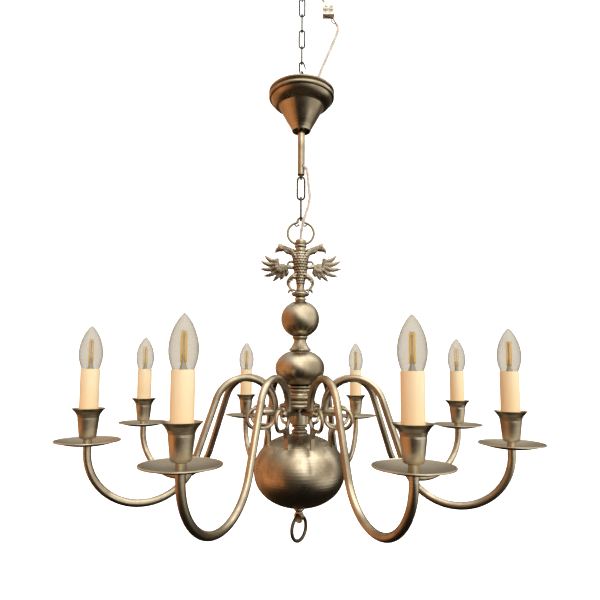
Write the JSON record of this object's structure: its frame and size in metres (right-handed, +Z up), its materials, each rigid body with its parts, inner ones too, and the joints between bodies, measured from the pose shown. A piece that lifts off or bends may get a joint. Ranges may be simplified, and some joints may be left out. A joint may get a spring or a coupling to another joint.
{
  "type": "multi arm chandelier",
  "caption": "Hanging brass chandelier: chain, canopy and rod, lyre loop, eagle and turned balls, curved arms with drip pans, candle sleeves and candle bulbs.",
  "frame": {"origin": "centre of the ceiling plate's upper face, where it meets the ceiling", "axes": "+Z up, +X to the right and -Y the front, with the eagle facing the front"},
  "size_m": [0.7326, 0.7326, 1.0683],
  "materials": {
    "antique_brass": "satin antiqued",
    "black_steel": "blackened",
    "bright_steel": "plated",
    "clear_cord": "clear pvc",
    "white_plastic": "satin",
    "candle_sleeve": "satin",
    "bulb_glass": "clear"
  },
  "bodies": {
    "ceiling": {"ceiling_plate": "antique_brass", "ceiling_hook": "black_steel", "cable_bush": "white_plastic"},
    "top_link": {"chain_link_top": "black_steel", "terminal_block": "white_plastic", "feed_cord": "clear_cord"},
    "rod": {"chain_links": "black_steel", "chain_hook": "black_steel", "rod_loop": "bright_steel", "down_rod": "antique_brass", "rod_eye": "black_steel", "supply_cord": "clear_cord"},
    "canopy_body": {"canopy": "antique_brass", "canopy_collar": "antique_brass", "canopy_screw": "black_steel"},
    "link_1": {"lower_link_1": "antique_brass", "lower_cord_1": "clear_cord"},
    "link_2": {"lower_link_2": "antique_brass", "lower_cord_2": "clear_cord"},
    "chandelier": {"lower_cord_3": "clear_cord", "cord_cup": "antique_brass", "lyre_loop": "antique_brass", "neck_collar": "antique_brass", "tie_rod": "bright_steel", "eagle_body": "antique_brass", "eagle_wings": "antique_brass", "dish_collar": "antique_brass", "small_ball": "antique_brass", "upper_neck": "antique_brass", "medium_ball": "antique_brass", "ring_stack": "antique_brass", "hub_disc": "antique_brass", "hub_barrel": "antique_brass", "lower_neck": "antique_brass", "large_ball": "antique_brass", "wire_block": "white_plastic", "bottom_collar": "antique_brass", "ring_eye": "antique_brass", "arm_1": "antique_brass", "arm_2": "antique_brass", "arm_3": "antique_brass", "arm_4": "antique_brass", "arm_5": "antique_brass", "arm_6": "antique_brass", "arm_7": "antique_brass", "arm_8": "antique_brass", "arm_nipples": "antique_brass", "drip_pans": "antique_brass", "candle_cups": "antique_brass", "candle_sleeves": "candle_sleeve", "lampholders": "white_plastic"},
    "ring_body": {"pull_ring": "antique_brass"},
    "bulb_body_1": {"bulb_1": "bulb_glass"},
    "bulb_body_2": {"bulb_2": "bulb_glass"},
    "bulb_body_3": {"bulb_3": "bulb_glass"},
    "bulb_body_4": {"bulb_4": "bulb_glass"},
    "bulb_body_5": {"bulb_5": "bulb_glass"},
    "bulb_body_6": {"bulb_6": "bulb_glass"},
    "bulb_body_7": {"bulb_7": "bulb_glass"},
    "bulb_body_8": {"bulb_8": "bulb_glass"}
  },
  "joints": [
    {"name": "hook_swing", "type": "hinge", "parent": "ceiling", "child": "top_link", "pos_m": [0, 0, -0.0408], "axis": [1, 0, 0], "range_deg": [-8, 8]},
    {"name": "chain_swing", "type": "hinge", "parent": "top_link", "child": "rod", "pos_m": [0, 0, -0.0715], "axis": [0, 1, 0], "range_deg": [-8, 8]},
    {"name": "canopy_slide", "type": "slide", "parent": "rod", "child": "canopy_body", "axis": [0, 0, 1], "range_m": [-0.05, 0.04]},
    {"name": "rod_eye_swing", "type": "hinge", "parent": "rod", "child": "link_1", "pos_m": [0, 0, -0.42104], "axis": [0, 1, 0], "range_deg": [-10, 10]},
    {"name": "link_swing", "type": "hinge", "parent": "link_1", "child": "link_2", "pos_m": [0, 0, -0.45979], "axis": [1, 0, 0], "range_deg": [-10, 10]},
    {"name": "lyre_swing", "type": "hinge", "parent": "link_2", "child": "chandelier", "pos_m": [0, 0, -0.49839], "axis": [0, 1, 0], "range_deg": [-10, 10]},
    {"name": "ring_swing", "type": "hinge", "parent": "chandelier", "child": "ring_body", "pos_m": [0, 0, -1.02349], "axis": [0.5736, 0.8192, 0], "range_deg": [-60, 60]},
    {"name": "bulb_lift_1", "type": "slide", "parent": "chandelier", "child": "bulb_body_1", "axis": [0, 0, 1], "range_m": [0, 0.045]},
    {"name": "bulb_lift_2", "type": "slide", "parent": "chandelier", "child": "bulb_body_2", "axis": [0, 0, 1], "range_m": [0, 0.045]},
    {"name": "bulb_lift_3", "type": "slide", "parent": "chandelier", "child": "bulb_body_3", "axis": [0, 0, 1], "range_m": [0, 0.045]},
    {"name": "bulb_lift_4", "type": "slide", "parent": "chandelier", "child": "bulb_body_4", "axis": [0, 0, 1], "range_m": [0, 0.045]},
    {"name": "bulb_lift_5", "type": "slide", "parent": "chandelier", "child": "bulb_body_5", "axis": [0, 0, 1], "range_m": [0, 0.045]},
    {"name": "bulb_lift_6", "type": "slide", "parent": "chandelier", "child": "bulb_body_6", "axis": [0, 0, 1], "range_m": [0, 0.045]},
    {"name": "bulb_lift_7", "type": "slide", "parent": "chandelier", "child": "bulb_body_7", "axis": [0, 0, 1], "range_m": [0, 0.045]},
    {"name": "bulb_lift_8", "type": "slide", "parent": "chandelier", "child": "bulb_body_8", "axis": [0, 0, 1], "range_m": [0, 0.045]}
  ]
}
